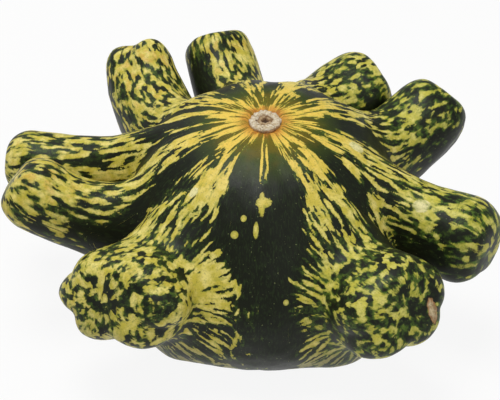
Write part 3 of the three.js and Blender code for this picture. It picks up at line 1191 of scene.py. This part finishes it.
@dataclass
class GourdBody:
    """The gourd's whole skin, dome and fingers, as one closed surface."""

    skin: Skin
    finish: RindFinish
    columns: int = 560
    rows: int = 170
    column_crowding: float = 0.45
    row_crowding: float = 0.38
    lump_height: float = 0.35
    lump_size: float = 9.0
    seed: Vector = field(default_factory=lambda: Vector((3.1, 7.7, 1.9)))
    recess_depth: float = 0.9
    collar_height: float = 0.35
    collar_at: float = 6.0
    collar_width: float = 0.9

    def build(self) -> bpy.types.Object:
        """Makes the body and dresses it.

        Returns:
            The body.
        """
        bm = bmesh.new()
        bmesh.ops.create_uvsphere(bm, u_segments=self.columns, v_segments=self.rows, radius=1.0)
        globe = np.array([vert.co for vert in bm.verts], float)
        height = np.degrees(np.arcsin(np.clip(globe[:, 2], -1, 1))) / 90
        latitude = 90 * mix(height, height ** 3, self.row_crowding)
        even = np.degrees(np.arctan2(globe[:, 1], globe[:, 0]))
        direction = self.skin.ribs.crowded(even, self.column_crowding)
        points = self.skin.points(latitude, direction)
        for vert, point in zip(bm.verts, points):
            vert.co = Vector(point) * METRES
        self._add_lumps(bm, points)
        self._sink_crown(bm)
        return make_piece("gourd_skin", bm, self.finish.material(self.skin), "gourd_body",
                          self.skin.growth(latitude, direction))

    def _add_lumps(self, bm: bmesh.types.BMesh, points: Array) -> None:
        """Adds the slight unevenness of grown skin, fading out at the resting face.

        Args:
            bm: The skin's mesh in metres.
            points: Its points in millimetres.
        """
        bm.normal_update()
        fade = smooth(0.5, 10.0, points[:, 2])
        for vert, point, share in zip(bm.verts, points, fade):
            place = Vector(point) / self.lump_size + self.seed
            swell = noise.noise(place) + 0.35 * noise.noise(place * 2.7)
            vert.co += vert.normal * (swell * share * self.lump_height * METRES)

    def _sink_crown(self, bm: bmesh.types.BMesh) -> None:
        """Lowers the skin under the stem scar, and raises a collar around it.

        Args:
            bm: The skin's mesh in metres.
        """
        dome = self.skin.dome
        lean = math.radians(dome.lean)
        axis = Vector((0, -math.sin(lean), math.cos(lean)))
        crown = (axis * dome.rise + Vector((0, 0, dome.level))) * METRES
        for vert in bm.verts:
            away = vert.co - crown
            out = (away - axis * away.dot(axis)).length / METRES
            if out < 8 and away.length < 0.02:
                sunk = self.recess_depth * smooth(6.2, 4.2, out)
                from_collar = (out - self.collar_at) / self.collar_width
                collar = self.collar_height * math.exp(-from_collar ** 2)
                vert.co += axis * ((collar - sunk) * METRES)


@dataclass
class StemScar:
    """The corky disc where the stem came away: an uneven rim around a pit."""

    dome: DomeForm
    finish: CorkFinish
    radius: float = 4.8
    sides: int = 192
    rim_height: float = 0.92
    profile: tuple[tuple[float, float], ...] = (
        (0.0, -1.6), (2.2, -1.6), (4.3, -1.6), (4.7, -0.9), (4.85, -0.3), (4.85, 0.05),
        (4.75, 0.24), (4.5, 0.4), (4.15, 0.54), (3.8, 0.64), (3.4, 0.7), (3.1, 0.7), (2.8, 0.62),
        (2.55, 0.5), (2.3, 0.34), (2.05, 0.22), (1.8, 0.26), (1.55, 0.36), (1.3, 0.26),
        (1.1, 0.05), (0.9, -0.2), (0.65, -0.42), (0.35, -0.55), (0.0, -0.6),
    )

    def build(self) -> bpy.types.Object:
        """Makes the scar and sets it on the crown.

        Returns:
            The scar.
        """
        bm = bmesh.new()
        verts = [bm.verts.new((out, 0.0, height)) for out, height in self.profile]
        edges = [bm.edges.new(pair) for pair in zip(verts, verts[1:])]
        bmesh.ops.spin(bm, geom=verts + edges, axis=(0, 0, 1), cent=(0, 0, 0),
                       steps=self.sides, angle=2 * math.pi, use_merge=True)
        bmesh.ops.remove_doubles(bm, verts=bm.verts, dist=1e-5)
        bmesh.ops.recalc_face_normals(bm, faces=bm.faces)
        cork = np.array([self._weather(vert) for vert in bm.verts])
        lean = Matrix.Rotation(math.radians(self.dome.lean), 4, "X")
        place = Matrix.Translation((0, 0, self.dome.level)) @ lean
        place = place @ Matrix.Translation((0, 0, self.dome.rise))
        bmesh.ops.transform(bm, matrix=Matrix.Scale(METRES, 4) @ place, verts=bm.verts)
        return make_piece("stem_scar_cork", bm, self.finish.material(), "stem_scar",
                          {Layer.CORK: cork})

    def _weather(self, vert: bmesh.types.BMVert) -> tuple[float, float, float]:
        """Makes one point of the scar uneven.

        Args:
            vert: The point, in millimetres, which is moved.

        Returns:
            What the cork's layer holds for it.
        """
        x, y, height = vert.co
        out = math.hypot(x, y)
        around = math.atan2(y, x)
        ring = Vector((math.cos(around), math.sin(around), 0))
        outline = 0.94 + 0.03 * math.cos(8 * around + 0.4) + 0.02 * math.cos(3 * around + 1)
        outline += 0.09 * noise.noise(ring * 2.2 + Vector((5, 0, 0)))
        outline += 0.07 * noise.noise(ring * 6 + Vector((0, 3, 0)))
        grit = noise.noise(Vector((x, y, 0)) * 1.3) + 0.8 * noise.noise(Vector((x, y, 4)) * 3.4)
        wander = 0.9 * noise.noise(Vector((x * 0.7, y * 0.7, 2)))
        crack = max(0.0, math.cos(3.5 * (around + wander)) ** 30)
        crack *= smooth(1.4, 3.0, out)
        star = 1.4 * noise.noise(ring * 2.4 + Vector((0, 9, 0))) + 0.2 * math.cos(5 * around)
        hole = math.exp(-((x + 2.6) ** 2 + (y + 0.35) ** 2) / 0.09)
        pitted = 0.45 * star * smooth(3.2, 1.6, out) + 1.3 * hole
        if height > -0.8 and out > 0.01:
            vert.co.z += 0.2 * grit - 0.3 * crack - 0.3 * max(0.0, pitted)
        vert.co.x *= outline
        vert.co.y *= outline
        # How deep below the rim, which the cork's material turns into painted shade.
        depth = self.rim_height - height + pitted if out < 4 else 0.0
        return out / self.radius, depth, crack


# ------------------------------------------------------------------ studio


WHITE: Colour = (1.0, 1.0, 1.0, 1.0)


class LampRole(Enum):
    """What each lamp is for."""

    KEY = "key"
    FILL = "fill"
    BACK = "back"


@dataclass(frozen=True)
class Lamp:
    """A soft lamp: where it stands in metres, its size and its power in watts."""

    role: LampRole
    place: tuple[float, float, float]
    size: float
    power: float


@dataclass
class Studio:
    """The pale floor, the soft lamps and the camera."""

    aim: Vector = field(default_factory=lambda: Vector((-0.00425, 0.0, 0.037)))
    elevation: float = 37.0
    distance: float = 0.36
    lens: float = 85.26
    floor_half: float = 1.5
    floor_drop: float = 0.0002
    floor_glow: float = 0.9
    paper: Colour = srgb("f0f0ee")
    world_strength: float = 0.28
    lamps: tuple[Lamp, ...] = (
        Lamp(LampRole.KEY, (-0.1, -0.02, 0.75), 0.35, 3.3),
        Lamp(LampRole.FILL, (0.45, -0.5, 0.45), 0.6, 0.6),
        Lamp(LampRole.BACK, (-0.4, 0.5, 0.5), 0.5, 0.6),
    )

    def build(self) -> None:
        """Sets up everything that isn't part of the object."""
        self._floor()
        self._world()
        for lamp in self.lamps:
            self._lamp(lamp)
        self._camera()
        bpy.context.scene.view_settings.view_transform = "Standard"

    def _floor(self) -> None:
        """A pale floor that takes the gourd's soft shadow."""
        bm = bmesh.new()
        bmesh.ops.create_grid(bm, x_segments=1, y_segments=1, size=self.floor_half)
        mesh = bpy.data.meshes.new("floor")
        bm.to_mesh(mesh)
        bm.free()
        floor = bpy.data.objects.new("floor", mesh)
        floor.location = (0, 0, -self.floor_drop)
        bpy.context.scene.collection.objects.link(floor)
        mesh.materials.append(self._floor_material())

    def _floor_material(self) -> bpy.types.Material:
        """Pale paper that shows as near white to the camera and in reflections.

        Returns:
            The floor's material.
        """
        bench = NodeBench("floor")
        paper = bench.signal(0, "ShaderNodeBsdfDiffuse", {"Color": self.paper})
        glow = bench.signal(0, "ShaderNodeEmission", {"Color": WHITE, "Strength": 1.0})
        path = bench.node("ShaderNodeLightPath", {}).outputs
        camera, glossy, through = (
            Signal(bench, path[f"Is {ray} Ray"]) for ray in ("Camera", "Glossy", "Transmission"))
        seen = camera.or_more(glossy).or_more(through) * self.floor_glow
        return bench.finish(bench.signal(0, "ShaderNodeMixShader", {0: seen, 1: paper, 2: glow}))

    def _world(self) -> None:
        """Even white surroundings, dimmer as light than as backdrop."""
        world = bpy.data.worlds.new("studio")
        world.use_nodes = True
        tree = world.node_tree
        background = next(node for node in tree.nodes if node.type == "BACKGROUND")
        background.inputs["Color"].default_value = WHITE
        path = tree.nodes.new("ShaderNodeLightPath")
        strength = tree.nodes.new("ShaderNodeMix")
        strength.inputs[2].default_value = self.world_strength
        strength.inputs[3].default_value = 1.0
        tree.links.new(path.outputs["Is Camera Ray"], strength.inputs[0])
        tree.links.new(strength.outputs[0], background.inputs["Strength"])
        bpy.context.scene.world = world

    def _lamp(self, lamp: Lamp) -> None:
        """Adds one soft lamp that faces the gourd.

        Args:
            lamp: Its place, size and power.
        """
        data = bpy.data.lights.new(lamp.role.value, "AREA")
        data.shape = "DISK"
        data.size = lamp.size
        data.energy = lamp.power
        light = bpy.data.objects.new(lamp.role.value, data)
        light.location = lamp.place
        light.rotation_euler = (self.aim - Vector(lamp.place)).to_track_quat("-Z", "Y").to_euler()
        bpy.context.scene.collection.objects.link(light)

    def _camera(self) -> None:
        """Looks down on the gourd from its front."""
        tilt = math.radians(self.elevation)
        data = bpy.data.cameras.new("camera")
        data.lens = self.lens
        data.clip_start = 0.01
        camera = bpy.data.objects.new("camera", data)
        camera.location = self.aim + self.distance * Vector((0, -math.cos(tilt), math.sin(tilt)))
        camera.rotation_euler = (math.pi / 2 - tilt, 0, 0)
        bpy.context.scene.collection.objects.link(camera)
        bpy.context.scene.camera = camera


def main() -> None:
    """Builds the gourd and its studio, and logs each piece's face count."""
    logging.basicConfig(level=logging.INFO, format="%(name)s: %(message)s")
    skin = Skin(DomeForm(), BellyForm(), FINGERS)
    Studio().build()
    GourdBody(skin, RindFinish()).build()
    StemScar(skin.dome, CorkFinish()).build()


if __name__ == "__main__":
    main()
